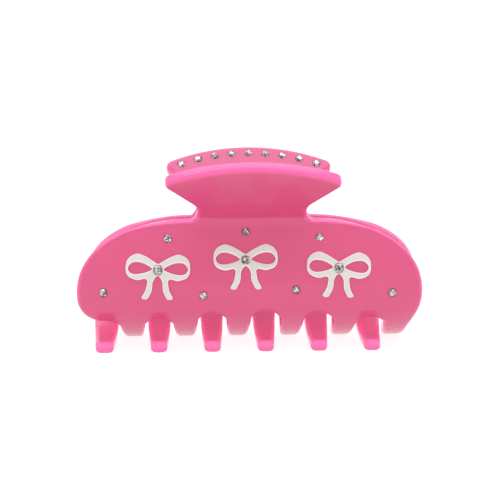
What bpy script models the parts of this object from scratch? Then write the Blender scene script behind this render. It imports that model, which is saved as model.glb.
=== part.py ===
"""A claw hair clip: two bent acetate jaws on a sprung hinge pin, trimmed with bows and crystals.

The front jaw is cut flat from sheet, then bent along its length: x runs along the clip and s runs
up the middle of the sheet, from the tooth tips to the top of the thumb lever. The rear jaw is the
same piece turned half a turn about the vertical. Metres, +Z up, +X along the clip, the front jaw
towards -Y, and the tooth tips standing on z = 0.
"""

import math

import bmesh
import bpy
from mathutils import Matrix, Vector

MM = 0.001
CUT_SLACK = 0.0001 * MM
BEND_STEP = math.radians(11)

# Sheet and its bends, from the hinge outwards. Leans are angles from the vertical.
SHEET = 4.0 * MM
EDGE_CHAMFER = 0.9 * MM
NECK_GAP = 5.0 * MM
NECK_BEND = 6.0 * MM
LEVER_LEAN = math.radians(46)
LEVER_RUN = 23.3 * MM
BODY_LEAN = math.radians(26)
BODY_RUN = 12.2 * MM
CURL_BEND = 13.0 * MM
CURL_LEAN = math.radians(40)
TOOTH_BEND = 30.0 * MM
TIP_LEAN = math.radians(88.6)
FOOT_FLAT = 0.2 * MM

# Teeth, set a quarter pitch off the middle so that the turned rear jaw's teeth pass between them.
TEETH = 6
TOOTH_PITCH = 17.0 * MM
TOOTH_OFFSET = TOOTH_PITCH / 4
LAST_TOOTH = (TEETH - 1) / 2 * TOOTH_PITCH + TOOTH_OFFSET
TOOTH_ROOT = 8.0 * MM
TOOTH_TIP = 5.3 * MM
TIP_CORNER = 2.2 * MM
SIDE_TOOTH_FLARE = 0.5 * MM

# Arches between the teeth.
ARCH_RISE = 26.8 * MM
ARCH_CROWN = 160.0 * MM
LOBE_RISE = 22.4 * MM

# Flat outline of one jaw.
BODY_LEFT = LAST_TOOTH + 8.65 * MM
BODY_RIGHT = LAST_TOOTH + 7.15 * MM
SHOULDER_RISE = 1.3 * MM
WIDEST_BELOW_SHOULDER = 24.2 * MM
END_FULLNESS = 2.15
NECK_WIDTH = 34.6 * MM
NECK_FILLET = (2.5 * MM, 4.0 * MM)
LEVER_WIDTH = 54.4 * MM
LEVER_CORNER = 2.4 * MM
LEVER_CROWN = 60.0 * MM
FLANK_SLANT = math.radians(43)
FLARE_BEND = 6.0 * MM

# Crystals, each in a shallow seat.
CRYSTAL = 2.55 * MM
KNOT_CRYSTAL = 2.8 * MM
CRYSTAL_HEIGHT = 1.1 * MM
CRYSTAL_SIDES = 8
GIRDLE = 0.45  # of the height, left upright
TABLE = 0.56  # of the width, flat on top
SEAT_DEPTH = 0.5 * MM
SEAT_CLEARANCE = 0.12 * MM
LEVER_CRYSTALS = 9
LEVER_CRYSTAL_PITCH = (LEVER_WIDTH - 9.6 * MM) / (LEVER_CRYSTALS - 1)
LEVER_CRYSTAL_INSET = 3.1 * MM

# Places on the body in millimetres: x, and how far down the sheet from the shoulders.
FACE_CRYSTALS = [
    (-26.7, 6.8), (-2.0, 4.6), (21.5, 6.6), (-47.0, 23.1), (-15.6, 24.2), (13.7, 22.7), (44.2, 23.8),
]
BOW_PLACES = [(-29.8, 17.1, -2.0), (-2.2, 14.2, 0.0), (27.2, 16.9, -2.0)]  # and degrees of turn

# Bows: width over the loops sets the size of the outline below.
BOW_WIDTH = 20.2 * MM
BOW_SHEET = 1.0 * MM
BOW_GAP = 0.12 * MM
KNOT_SEAT = 0.45 * MM

# Hinge: brackets with ears, a pin and a torsion spring.
PIN = 1.4 * MM
PIN_CLEARANCE = 0.25 * MM
PIN_HEAD = 2.6 * MM
PIN_HEAD_THICK = 0.7 * MM
PIN_HEAD_FACE = 0.7  # of the head's width, left flat by the peening
WIRE = 0.7 * MM
COIL = NECK_GAP - 1.9 * MM
COIL_TURNS = 6
COIL_LENGTH = 6.4 * MM
STEEL = 0.8 * MM
EAR_HEAD = NECK_GAP - 1.6 * MM
EAR_GAP = 0.3 * MM
FRONT_EAR_X = COIL_LENGTH / 2 + 3.2 * MM
REAR_EAR_X = FRONT_EAR_X - STEEL - EAR_GAP
BRACKET_WIDTH = 2 * FRONT_EAR_X + 5.2 * MM
BRACKET_HEIGHT = 8.5 * MM
BRACKET_BELOW_BEND = 1.0 * MM
BRACKET_GAP = 0.15 * MM
PRONG = 1.8 * MM
PRONG_REACH = SHEET / 2
PRONG_SPACING = BRACKET_WIDTH - 7.0 * MM
LEG_REACH = 9.6 * MM
LEG_GAP = 0.3 * MM


def clear_scene():
    for obj in list(bpy.data.objects):
        bpy.data.objects.remove(obj, do_unlink=True)


def material(name, colour, roughness, metallic=0.0):
    made = bpy.data.materials.new(name)
    made.use_nodes = True
    shader = made.node_tree.nodes["Principled BSDF"]
    shader.inputs["Base Color"].default_value = (*colour, 1.0)
    shader.inputs["Roughness"].default_value = roughness
    shader.inputs["Metallic"].default_value = metallic
    made.diffuse_color = (*colour, 1.0)
    return made


def add_object(name, data, finish=None):
    obj = bpy.data.objects.new(name, data)
    bpy.context.scene.collection.objects.link(obj)
    if finish:
        data.materials.append(finish)
    return obj


def mesh_from(shape, name):
    bmesh.ops.remove_doubles(shape, verts=shape.verts, dist=0.001 * MM)
    bmesh.ops.recalc_face_normals(shape, faces=shape.faces)
    mesh = bpy.data.meshes.new(name)
    shape.to_mesh(mesh)
    shape.free()
    return mesh


def arc(cx, cy, radius, start, end, steps, tall=None):
    """Points round an arc, or round an ellipse that is `tall` high, angles in degrees."""
    points = []
    for i in range(steps + 1):
        angle = math.radians(start + (end - start) * i / steps)
        points.append((cx + radius * math.cos(angle), cy + (tall or radius) * math.sin(angle)))
    return points


def ease(t):
    return t * t * (3 - 2 * t)


# The bent middle line of the sheet, as (s, out, up): `out` is the distance from the clip's middle.


def walk(start, lean, pieces):
    """Points reached by straight runs (length, 0) and bends (radius, turn), with lean in radians."""
    line = [start]
    for size, turn in pieces:
        s, out, up = line[-1]
        if not turn:
            line.append((s + size, out + size * math.sin(lean), up + size * math.cos(lean)))
            continue
        steps = max(1, round(abs(turn) / BEND_STEP))
        step = turn / steps
        chord = 2 * size * math.sin(abs(step) / 2)
        for _ in range(steps):
            s, out, up = line[-1]
            heading = lean + step / 2
            out += chord * math.sin(heading)
            up += chord * math.cos(heading)
            line.append((s + size * abs(step), out, up))
            lean += step
    return line


def bent_line():
    """The whole middle line from the tips up, standing so that the feet are flat on z = 0."""
    middle = (0.0, NECK_GAP / 2 + SHEET / 2, 0.0)
    upper = walk(middle, 0.0, [(NECK_BEND, LEVER_LEAN), (LEVER_RUN, 0)])
    lower = walk(
        middle,
        0.0,
        [
            (NECK_BEND, BODY_LEAN),
            (BODY_RUN, 0),
            (CURL_BEND, -BODY_LEAN - CURL_LEAN),
            (TOOTH_BEND, CURL_LEAN - TIP_LEAN),
        ],
    )
    length = lower[-1][0]
    line = [(length - s, out, -up) for s, out, up in reversed(lower)]
    line += [(length + s, out, up) for s, out, up in upper[1:]]
    lean = math.atan2(line[1][1] - line[0][1], line[1][2] - line[0][2])
    outer_low = line[0][2] - SHEET / 2 * math.sin(lean) + EDGE_CHAMFER * math.cos(lean)
    lift = -outer_low - FOOT_FLAT
    return [(s, out, up + lift) for s, out, up in line]


LINE = bent_line()
NECK_S = next(s for s, out, up in LINE if abs(out - NECK_GAP / 2 - SHEET / 2) < 1e-9)
TOP_S = LINE[-1][0]
BODY_TOP_S = NECK_S - NECK_BEND * BODY_LEAN
CURL_TOP_S = BODY_TOP_S - BODY_RUN
SHOULDER_S = NECK_S + SHOULDER_RISE
PIN_Z = next(up for s, out, up in LINE if s == NECK_S)


def segment_at(s):
    for i in range(len(LINE) - 2):
        if s < LINE[i + 1][0]:
            return i
    return len(LINE) - 2


def face_normal(i):
    """Outward normal of stretch i of the line, as (out, up)."""
    _, out0, up0 = LINE[i]
    _, out1, up1 = LINE[i + 1]
    length = math.hypot(out1 - out0, up1 - up0)
    return Vector(((up1 - up0) / length, -(out1 - out0) / length))


def corner_normal(i):
    """Mitred outward normal at point i of the line."""
    if i == 0 or i == len(LINE) - 1:
        return face_normal(min(i, len(LINE) - 2))
    before, after = face_normal(i - 1), face_normal(i)
    mean = (before + after).normalized()
    return mean / mean.dot(after)


NORMALS = [corner_normal(i) for i in range(len(LINE))]


def bend(x, s, depth):
    """Where the flat point (x, s) goes, `depth` outwards from the sheet's middle."""
    i = segment_at(s)
    s0, *start = LINE[i]
    s1, *end = LINE[i + 1]
    t = (s - s0) / (s1 - s0)
    out, up = Vector(start).lerp(Vector(end), t) + depth * NORMALS[i].lerp(NORMALS[i + 1], t)
    return Vector((x, -out, up))


def surface_frame(x, s, depth):
    """Axes x, up the sheet and outwards, with their origin on the sheet at that depth."""
    i = segment_at(s)
    normal = face_normal(i)
    if depth < 0:
        normal = -normal
    z_axis = Vector((0, -normal[0], normal[1]))
    x_axis = Vector((1, 0, 0))
    y_axis = z_axis.cross(x_axis)
    frame = Matrix((x_axis, y_axis, z_axis)).transposed().to_4x4()
    frame.translation = bend(x, s, depth)
    return frame


# Flat outline


def arch_top(x):
    """The arches follow a shallow crown, highest near the middle tooth gap."""
    return ARCH_RISE - (x - TOOTH_OFFSET) ** 2 / (2 * ARCH_CROWN)


def tooth_centre(k):
    return (k - (TEETH - 1) / 2) * TOOTH_PITCH + TOOTH_OFFSET


def lever_side():
    """Right-hand side of neck and lever, from the shoulder up to the crown."""
    neck, half = NECK_WIDTH / 2, LEVER_WIDTH / 2
    wide, tall = NECK_FILLET
    crown = TOP_S - LEVER_CROWN
    corner_x = half - LEVER_CORNER
    swing = math.asin(corner_x / (LEVER_CROWN - LEVER_CORNER))
    corner_s = crown + (LEVER_CROWN - LEVER_CORNER) * math.cos(swing)
    slant = math.degrees(FLANK_SLANT)
    flank_x = corner_x + LEVER_CORNER * math.cos(FLANK_SLANT)
    flank_s = corner_s - LEVER_CORNER * math.sin(FLANK_SLANT)
    flare_x = neck + FLARE_BEND * (1 - math.cos(FLANK_SLANT))
    flare_s = flank_s - (flank_x - flare_x) / math.tan(FLANK_SLANT) - FLARE_BEND * math.sin(FLANK_SLANT)
    points = arc(neck + wide, SHOULDER_S + tall, wide, 270, 180, 4, tall)
    points += arc(neck + FLARE_BEND, flare_s, FLARE_BEND, 180, 180 - slant, 4)
    points += arc(corner_x, corner_s, LEVER_CORNER, -slant, 90 - math.degrees(swing), 6)
    return points, math.degrees(swing)


def body_end(reach):
    """Upper quarter of a body end, from its widest point up to the shoulder."""
    steps = 12
    start = NECK_WIDTH / 2 + NECK_FILLET[0]
    widest = SHOULDER_S - WIDEST_BELOW_SHOULDER
    power = 2 / END_FULLNESS
    points = []
    for i in range(steps):
        angle = math.pi / 2 * i / steps
        x = start + (reach - start) * math.cos(angle) ** power
        points.append((x, widest + WIDEST_BELOW_SHOULDER * math.sin(angle) ** power))
    return points


def tooth_outline(k):
    """Left flank, rounded tip and right flank of one tooth, then the arch after it."""
    x = tooth_centre(k)
    arch = (TOOTH_PITCH - TOOTH_ROOT) / 2
    reach = TOOTH_TIP / 2 - TIP_CORNER
    right = reach + (SIDE_TOOTH_FLARE if k == TEETH - 1 else 0)
    points = arc(x - reach, TIP_CORNER, TIP_CORNER, 180, 270, 4)
    points += arc(x + right, TIP_CORNER, TIP_CORNER, 270, 360, 4)
    if k < TEETH - 1:
        gap_x = x + TOOTH_PITCH / 2
        points += arc(gap_x, arch_top(gap_x) - arch, arch, 180, 0, 10)
    return points


def jaw_outline():
    """The flat jaw, anticlockwise from the first tooth."""
    arch = (TOOTH_PITCH - TOOTH_ROOT) / 2
    first_gap = tooth_centre(0) - TOOTH_PITCH / 2
    widest = SHOULDER_S - WIDEST_BELOW_SHOULDER
    points = []
    for k in range(TEETH):
        points += tooth_outline(k)
    foot_x = tooth_centre(TEETH - 1) + TOOTH_ROOT / 2
    foot_s = arch_top(foot_x) - arch
    steps = 9
    for i in range(steps):
        t = i / steps
        points.append((foot_x + (BODY_RIGHT - foot_x) * ease(t), foot_s + (widest - foot_s) * t))
    points += body_end(BODY_RIGHT)
    side, swing = lever_side()
    points += side
    points += arc(0, TOP_S - LEVER_CROWN, LEVER_CROWN, 90 - swing, 90 + swing, 14)[1:-1]
    points += [(-x, s) for x, s in reversed(side)]
    points += [(-x, s) for x, s in reversed(body_end(BODY_LEFT))]
    points += arc(first_gap, widest, BODY_LEFT + first_gap, 180, 270, 7, widest - LOBE_RISE)[1:]
    points += arc(first_gap, LOBE_RISE - arch, arch, 90, 0, 5)[1:]
    return points


def inset(points, distance):
    """The closed outline moved inwards (it runs anticlockwise)."""
    moved = []
    for i, here in enumerate(points):
        before, after = Vector(points[i - 1]), Vector(points[(i + 1) % len(points)])
        here = Vector(here)
        first, second = (here - before).normalized(), (after - here).normalized()
        left = Vector((-first.y - second.y, first.x + second.x)).normalized()
        moved.append(tuple(here + left * distance / max(0.6, left.dot(Vector((-first.y, first.x))))))
    return moved


def whole(shape):
    return shape.verts[:] + shape.edges[:] + shape.faces[:]


def cut_and_bend(shape, lift):
    """Cuts a flat shape (x, s, depth) at every corner of the bent line, then bends it."""
    for s, _, _ in LINE[1:-1]:
        bmesh.ops.bisect_plane(
            shape, geom=whole(shape), dist=CUT_SLACK, plane_co=(0, s, 0), plane_no=(0, 1, 0)
        )
    bmesh.ops.triangulate(shape, faces=shape.faces)
    for vert in shape.verts:
        vert.co = bend(vert.co.x, vert.co.y, vert.co.z + lift)


def flat_feet(shape):
    """Takes the tooth tips off at z = 0, so that they stand flat."""
    bmesh.ops.bisect_plane(
        shape, geom=whole(shape), dist=CUT_SLACK, plane_co=(0, 0, 0), plane_no=(0, 0, -1), clear_outer=True
    )
    rims = [edge for edge in shape.edges if edge.is_boundary]
    bmesh.ops.holes_fill(shape, edges=rims)
    bmesh.ops.triangulate(shape, faces=[face for face in shape.faces if len(face.verts) > 3])


def stack(shape, rings):
    """Closes a stack of rings, each with the same number of verts, into one body."""
    shape.faces.new(list(reversed(rings[0])))
    shape.faces.new(rings[-1])
    for low, high in zip(rings, rings[1:]):
        for i in range(len(low)):
            j = (i + 1) % len(low)
            shape.faces.new((low[i], low[j], high[j], high[i]))


def jaw_mesh():
    """The sheet with chamfered edges, bent, and standing on its teeth."""
    outline = jaw_outline()
    inner = inset(outline, EDGE_CHAMFER)
    half = SHEET / 2
    shape = bmesh.new()
    rings = []
    square = half - EDGE_CHAMFER
    for points, depth in ((inner, -half), (outline, -square), (outline, square), (inner, half)):
        rings.append([shape.verts.new((x, s, depth)) for x, s in points])
    stack(shape, rings)
    cut_and_bend(shape, 0.0)
    flat_feet(shape)
    return mesh_from(shape, "jaw")


# Trim


def ring(shape, frame, radius, height, sides):
    """Verts round the frame's z axis, with a flat side towards its x."""
    angles = [2 * math.pi * (i + 0.5) / sides for i in range(sides)]
    places = [Vector((radius * math.cos(angle), radius * math.sin(angle), height)) for angle in angles]
    return [shape.verts.new(frame @ place) for place in places]


def prism(shape, frame, radius, low, high, sides):
    """A closed many-sided prism along the frame's z."""
    stack(shape, [ring(shape, frame, radius, height, sides) for height in (low, high)])


def crystal_mesh(frame, diameter):
    """A flat-backed crystal: a girdle, a sloping crown and a flat table."""
    shape = bmesh.new()
    rings = []
    for wide, up in ((1.0, 0.0), (1.0, GIRDLE), (TABLE, 1.0)):
        rings.append(ring(shape, frame, diameter / 2 * wide, CRYSTAL_HEIGHT * up, CRYSTAL_SIDES))
    stack(shape, rings)
    return mesh_from(shape, "crystal")


def face_frames():
    """The loose crystals on the outside of the body."""
    return [surface_frame(x * MM, SHOULDER_S - drop * MM, SHEET / 2) for x, drop in FACE_CRYSTALS]


def lever_frames():
    """The row inside the lever, following its crowned top edge."""
    frames = []
    radius = LEVER_CROWN - LEVER_CRYSTAL_INSET
    for i in range(LEVER_CRYSTALS):
        x = (i - (LEVER_CRYSTALS - 1) / 2) * LEVER_CRYSTAL_PITCH
        s = TOP_S - LEVER_CROWN + math.sqrt(radius**2 - x**2)
        frames.append(surface_frame(x, s, -SHEET / 2))
    return frames


def smooth(points, steps):
    """A closed curve through the points, rounded between them."""
    made = []
    count = len(points)
    for i in range(count):
        a, b, c, d = (Vector(points[(i + j) % count]) for j in (-1, 0, 1, 2))
        for k in range(steps):
            t = k / steps
            made.append((
                b * 2 + (c - a) * t + (a * 2 - b * 5 + c * 4 - d) * t**2 + (b * 3 - a - c * 3 + d) * t**3
            ) / 2)
    return [(p.x, p.y) for p in made]


# A bow drawn 20.2 across: its right half, round from the notch above the knot to the crotch below.
BOW_DRAWN = 20.2
BOW_NOTCH = (0.0, 2.0)
BOW_HALF = [
    (0.95, 2.5), (2.4, 3.45), (4.1, 4.4), (6.4, 5.2), (8.5, 4.4), (9.4, 3.45), (9.9, 2.5), (10.1, 0.9),
    (10.0, -0.6), (9.6, -1.55), (8.75, -2.45), (6.6, -3.2), (5.2, -3.0), (3.9, -2.75), (3.25, -3.4),
    (3.3, -4.25), (3.5, -5.45), (3.8, -6.65), (4.4, -7.85), (4.85, -8.75), (4.4, -9.2), (3.2, -9.15),
    (2.4, -7.85), (1.85, -6.65), (1.65, -5.45), (1.6, -4.25), (1.35, -3.35), (0.9, -2.5),
]
BOW_CROTCH = (0.0, -1.75)
BOW_HOLE = [
    (1.8, 0.35), (3.3, 1.6), (5.2, 2.4), (6.8, 2.62), (8.1, 2.35), (9.0, 1.55), (9.42, 0.6), (9.3, -0.15),
    (8.7, -0.95), (7.9, -1.3), (6.8, -1.4), (5.3, -1.2), (3.2, -0.6),
]


def up_the_face(s, rise):
    """Where on the sheet a bow lies that is `rise` further up the face, which the curl stretches."""
    stretch = (CURL_BEND + SHEET / 2 + BOW_SHEET / 2) / CURL_BEND
    above_curl = s - CURL_TOP_S
    above_curl = above_curl * (stretch if above_curl < 0 else 1) + rise
    return CURL_TOP_S + above_curl / (stretch if above_curl < 0 else 1)


def turned(points, place):
    """Outline points at bow size, turned and moved to a place (x, drop, degrees)."""
    x, drop, degrees = place
    size = BOW_WIDTH / BOW_DRAWN
    angle = math.radians(degrees)
    return [
        (
            x * MM + size * (u * math.cos(angle) - v * math.sin(angle)),
            up_the_face(SHOULDER_S - drop * MM, size * (u * math.sin(angle) + v * math.cos(angle))),
        )
        for u, v in points
    ]


def bow_mesh(place, name):
    """A bow cut from thin sheet, with two loop holes, bent to lie on the jaw."""
    right = BOW_HALF
    left = [(-u, v) for u, v in reversed(right)]
    loops = [
        smooth([BOW_NOTCH] + right + [BOW_CROTCH] + left, 2),
        smooth(BOW_HOLE, 2),
        smooth([(-u, v) for u, v in reversed(BOW_HOLE)], 2),
    ]
    shape = bmesh.new()
    edges = []
    for loop in loops:
        verts = [shape.verts.new((x, s, 0)) for x, s in turned(loop, place)]
        edges += [shape.edges.new((verts[i - 1], verts[i])) for i in range(len(verts))]
    bmesh.ops.triangle_fill(shape, use_beauty=True, use_dissolve=False, edges=edges)
    grown = bmesh.ops.extrude_face_region(shape, geom=shape.faces[:])
    for item in grown["geom"]:
        if isinstance(item, bmesh.types.BMVert):
            item.co.z += BOW_SHEET
    cut_and_bend(shape, SHEET / 2 + BOW_GAP)
    return mesh_from(shape, name)


def knot_frame(place):
    x, drop, _ = place
    return surface_frame(x * MM, SHOULDER_S - drop * MM, SHEET / 2 + BOW_GAP + BOW_SHEET)


# Hinge


def ring_points(radius, sides):
    """Points round the pin's axis, as (out, up)."""
    angles = [2 * math.pi * i / sides for i in range(sides)]
    return [(radius * math.cos(angle), PIN_Z + radius * math.sin(angle)) for angle in angles]


def ear_mesh(x):
    """One ear: a plate across x that runs from the bracket's base up and round the pin."""
    low, high = bracket_span()
    middle = -SHEET / 2 - BRACKET_GAP - STEEL / 2
    foot = [bend(0, s, middle) for s in (low + STEEL, high - STEEL)]
    head = [point for point in ring_points(EAR_HEAD / 2, 16) if point[1] > PIN_Z - EAR_HEAD / 20]
    heel = (-EAR_HEAD / 2, PIN_Z - EAR_HEAD / 2)
    outline = [(-foot[1].y, foot[1].z), *head, heel, (-foot[0].y, foot[0].z)]
    shape = bmesh.new()
    sides = (x - STEEL / 2, x + STEEL / 2)
    stack(shape, [[shape.verts.new((side, -out, up)) for out, up in outline] for side in sides])
    return mesh_from(shape, "ear")


def bracket_span():
    high = BODY_TOP_S - BRACKET_BELOW_BEND
    return high - BRACKET_HEIGHT, high


def helper(name, mesh):
    obj = add_object(name, mesh)
    obj.hide_render = True
    obj.display_type = "WIRE"
    return obj


def boolean(obj, other, operation):
    modifier = obj.modifiers.new(other.name, "BOOLEAN")
    modifier.operation = operation
    modifier.object = other
    modifier.solver = "EXACT"


def bracket(name, ear_x, finish):
    """A stamped bracket behind the neck: base, two prongs into the sheet and two ears."""
    low, high = bracket_span()
    half = BRACKET_WIDTH / 2
    near = -SHEET / 2 - BRACKET_GAP
    corners = ((-half, low), (half, low), (half, high), (-half, high))
    shape = bmesh.new()
    stack(shape, [[shape.verts.new(bend(x, s, depth)) for x, s in corners] for depth in (near, near - STEEL)])
    obj = add_object(name, mesh_from(shape, name), finish)
    prongs = bmesh.new()
    for frame in prong_frames():
        prism(prongs, frame, PRONG / 2, -STEEL / 2, BRACKET_GAP + PRONG_REACH, 8)
    boolean(obj, helper(name + "_prongs", mesh_from(prongs, "prongs")), "UNION")
    for side in (-1, 1):
        boolean(obj, helper(f"{name}_ear_{side}", ear_mesh(side * ear_x)), "UNION")
    hole = bmesh.new()
    along_x = Matrix.Translation((0, 0, PIN_Z)) @ Matrix.Rotation(math.pi / 2, 4, "Y")
    prism(hole, along_x, PIN / 2 + PIN_CLEARANCE, -BRACKET_WIDTH, BRACKET_WIDTH, 16)
    boolean(obj, helper(name + "_pin_hole", mesh_from(hole, "hole")), "DIFFERENCE")
    return obj


def prong_frames():
    """Frames on the bracket's base face, with z pointing into the sheet."""
    low, high = bracket_span()
    frames = []
    for side in (-1, 1):
        frame = surface_frame(side * PRONG_SPACING / 2, (low + high) / 2, -SHEET / 2 - BRACKET_GAP)
        frames.append(frame @ Matrix.Rotation(math.pi, 4, "X"))
    return frames


def jaw(name, finish):
    """The jaw with its crystal seats and the holes for its bracket's prongs."""
    obj = add_object(name, jaw_mesh(), finish)
    seats = bmesh.new()
    radius = CRYSTAL / 2 + SEAT_CLEARANCE
    for frame in face_frames() + lever_frames():
        prism(seats, frame, radius, -SEAT_DEPTH, SEAT_DEPTH, 2 * CRYSTAL_SIDES)
    for frame in prong_frames():
        reach = BRACKET_GAP + PRONG_REACH + SEAT_CLEARANCE
        prism(seats, frame, PRONG / 2 + SEAT_CLEARANCE, BRACKET_GAP / 2, reach, 12)
    boolean(obj, helper(name + "_seats", mesh_from(seats, "seats")), "DIFFERENCE")
    return obj


def hinge_pin(finish):
    """A pin with a peened head at each end, outside the front bracket's ears."""
    head_x = FRONT_EAR_X + STEEL / 2 + EAR_GAP
    tip_x = head_x + PIN_HEAD_THICK
    peened = PIN_HEAD_FACE * PIN_HEAD / 2
    stations = [(-tip_x, peened), (-head_x, PIN_HEAD / 2), (-head_x, PIN / 2)]
    stations += [(-x, radius) for x, radius in reversed(stations)]
    shape = bmesh.new()
    stack(shape, [[shape.verts.new((x, y, z)) for y, z in ring_points(radius, 16)] for x, radius in stations])
    return add_object("hinge_pin", mesh_from(shape, "hinge_pin"), finish)


def spring_leg(radius):
    """Lean and length of a leg that leaves the coil straight and ends just inside the lever."""
    end = bend(0, NECK_S + LEG_REACH, -SHEET / 2 - WIRE / 2 - LEG_GAP) - Vector((0, 0, PIN_Z))
    lean = math.atan2(-end.y, end.z) + math.asin(radius / end.length)
    return lean, math.sqrt(end.length_squared - radius**2)


def torsion_spring(finish):
    """A coil round the pin whose two legs lie along the insides of the levers."""
    radius = COIL / 2
    lean, leg = spring_leg(radius)
    sweep = 2 * math.pi * COIL_TURNS + math.pi + 2 * lean
    steps = round(sweep / math.radians(30))
    coil = []
    for i in range(steps + 1):
        angle = lean - sweep * i / steps
        x = COIL_LENGTH * (i / steps - 0.5)
        coil.append(Vector((x, -radius * math.cos(angle), PIN_Z + radius * math.sin(angle))))
    rear_leg = Vector((0, math.sin(lean), math.cos(lean))) * leg
    front_leg = Vector((0, -rear_leg.y, rear_leg.z))
    points = [coil[0] + rear_leg, *coil, coil[-1] + front_leg]
    curve = bpy.data.curves.new("torsion_spring", "CURVE")
    curve.dimensions = "3D"
    curve.bevel_depth = WIRE / 2
    curve.bevel_resolution = 1
    curve.use_fill_caps = True
    spline = curve.splines.new("POLY")
    spline.points.add(len(points) - 1)
    for point, place in zip(spline.points, points):
        point.co = (*place, 1)
    return add_object("torsion_spring", curve, finish)


def set_crystals(side, place, frames, sink, diameter, finish):
    """One crystal in each seat, `sink` below its surface."""
    for i, frame in enumerate(frames, 1):
        seated = frame @ Matrix.Translation((0, 0, -sink))
        add_object(f"{side}_{place}_crystal_{i}", crystal_mesh(seated, diameter), finish)


def set_bows(side, white, crystal):
    """Three bows on the outside of the body, each with a crystal seated in its knot."""
    frames = []
    for i, place in enumerate(BOW_PLACES, 1):
        bow = add_object(f"{side}_bow_{i}", bow_mesh(place, "bow"), white)
        frames.append(knot_frame(place))
        seat = bmesh.new()
        prism(seat, frames[-1], KNOT_CRYSTAL / 2 + SEAT_CLEARANCE, -KNOT_SEAT, KNOT_SEAT, 2 * CRYSTAL_SIDES)
        boolean(bow, helper(f"{side}_knot_seat_{i}", mesh_from(seat, "seat")), "DIFFERENCE")
    set_crystals(side, "knot", frames, KNOT_SEAT - SEAT_CLEARANCE, KNOT_CRYSTAL, crystal)


def main():
    clear_scene()
    pink = material("pink_acetate", (0.72, 0.105, 0.23), roughness=0.25)
    white = material("white_acetate", (0.76, 0.73, 0.68), roughness=0.3)
    crystal = material("crystal", (0.8, 0.8, 0.82), roughness=0.05, metallic=0.6)
    steel = material("steel", (0.62, 0.62, 0.64), roughness=0.3, metallic=1.0)
    for side, ear_x, turn in (("front", FRONT_EAR_X, 0), ("rear", REAR_EAR_X, math.pi)):
        before = set(bpy.data.objects)
        jaw(f"{side}_jaw", pink)
        bracket(f"{side}_hinge_bracket", ear_x, steel)
        seat_floor = SEAT_DEPTH - SEAT_CLEARANCE
        set_crystals(side, "face", face_frames(), seat_floor, CRYSTAL, crystal)
        set_crystals(side, "lever", lever_frames(), seat_floor, CRYSTAL, crystal)
        set_bows(side, white, crystal)
        pieces = set(bpy.data.objects) - before
        pivot = add_object(f"{side}_pivot", None)
        pivot.location = (0, 0, PIN_Z)
        for obj in pieces:
            obj.parent = pivot
            obj.location = (0, 0, -PIN_Z)
            obj.rotation_euler = (0, 0, turn)
    hinge_pin(steel)
    torsion_spring(steel)


main()
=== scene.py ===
# %% [markdown]
# # A claw hair clip, dressed for a picture
#
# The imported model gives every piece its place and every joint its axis. This script keeps those,
# and puts a finely made piece over each of the plain ones: two polished acetate jaws, their bows and
# crystals, and the small steel hinge between them. Blender works in metres and the maker's sizes
# are in millimetres, so one constant turns one into the other.

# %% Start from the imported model
import math

import bmesh
import bpy
from mathutils import Matrix, Vector


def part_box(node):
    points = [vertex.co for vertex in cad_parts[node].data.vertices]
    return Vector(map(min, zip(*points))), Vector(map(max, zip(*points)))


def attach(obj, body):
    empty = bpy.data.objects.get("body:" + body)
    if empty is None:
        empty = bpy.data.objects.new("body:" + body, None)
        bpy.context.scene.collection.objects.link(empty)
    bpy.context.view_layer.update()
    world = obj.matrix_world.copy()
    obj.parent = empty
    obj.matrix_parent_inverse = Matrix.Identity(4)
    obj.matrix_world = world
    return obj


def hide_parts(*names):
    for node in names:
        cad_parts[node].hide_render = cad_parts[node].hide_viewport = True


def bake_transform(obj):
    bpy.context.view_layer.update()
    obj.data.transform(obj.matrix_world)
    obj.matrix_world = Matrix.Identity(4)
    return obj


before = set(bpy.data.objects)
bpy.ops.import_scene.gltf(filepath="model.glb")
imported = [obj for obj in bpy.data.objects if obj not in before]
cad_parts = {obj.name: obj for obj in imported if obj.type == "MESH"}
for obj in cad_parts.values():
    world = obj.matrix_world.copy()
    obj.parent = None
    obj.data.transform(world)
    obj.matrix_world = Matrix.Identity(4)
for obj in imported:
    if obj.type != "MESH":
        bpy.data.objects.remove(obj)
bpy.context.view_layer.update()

MM = 0.001

# %% [markdown]
# ## The camera
#
# The clip stands on its teeth at the eye level of a table-top picture. A long lens from about half a
# metre keeps the two levers nearly the same width. The camera comes first, so that each piece can
# be looked at as soon as it is made.

# %% Aim the camera
CAMERA_TARGET = Vector((-0.33, 0.0, 30.46)) * MM
CAMERA_DISTANCE = 452.4 * MM
CAMERA_TURN = math.radians(-2.49)
CAMERA_RISE = math.radians(10.29)
LENS = 100.8
FILM_WIDTH = 36.0
NEAREST_SEEN = 10 * MM


def new_object(name, data):
    """A new object in the scene."""
    obj = bpy.data.objects.new(name, data)
    bpy.context.scene.collection.objects.link(obj)
    return obj


camera_data = bpy.data.cameras.new("camera")
camera_data.lens = LENS
camera_data.sensor_width = FILM_WIDTH
camera_data.clip_start = NEAREST_SEEN
camera = new_object("camera", camera_data)
sight = Vector((
    math.sin(CAMERA_TURN) * math.cos(CAMERA_RISE),
    -math.cos(CAMERA_TURN) * math.cos(CAMERA_RISE),
    math.sin(CAMERA_RISE),
))
camera.location = CAMERA_TARGET + sight * CAMERA_DISTANCE
camera.rotation_euler = sight.to_track_quat("Z", "Y").to_euler()
bpy.context.scene.camera = camera
print("camera at", [round(c, 3) for c in camera.location])

# %% [markdown]
# ## Nodes as sentences
#
# Materials and Geometry Nodes are both node trees. Wiring them line by line hides the sums that they
# do, so one small class wraps a node's output and lets Python's own +, - and * add the Math nodes.
# One method adds every other kind of node, from its type, its settings and what feeds its sockets.


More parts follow.
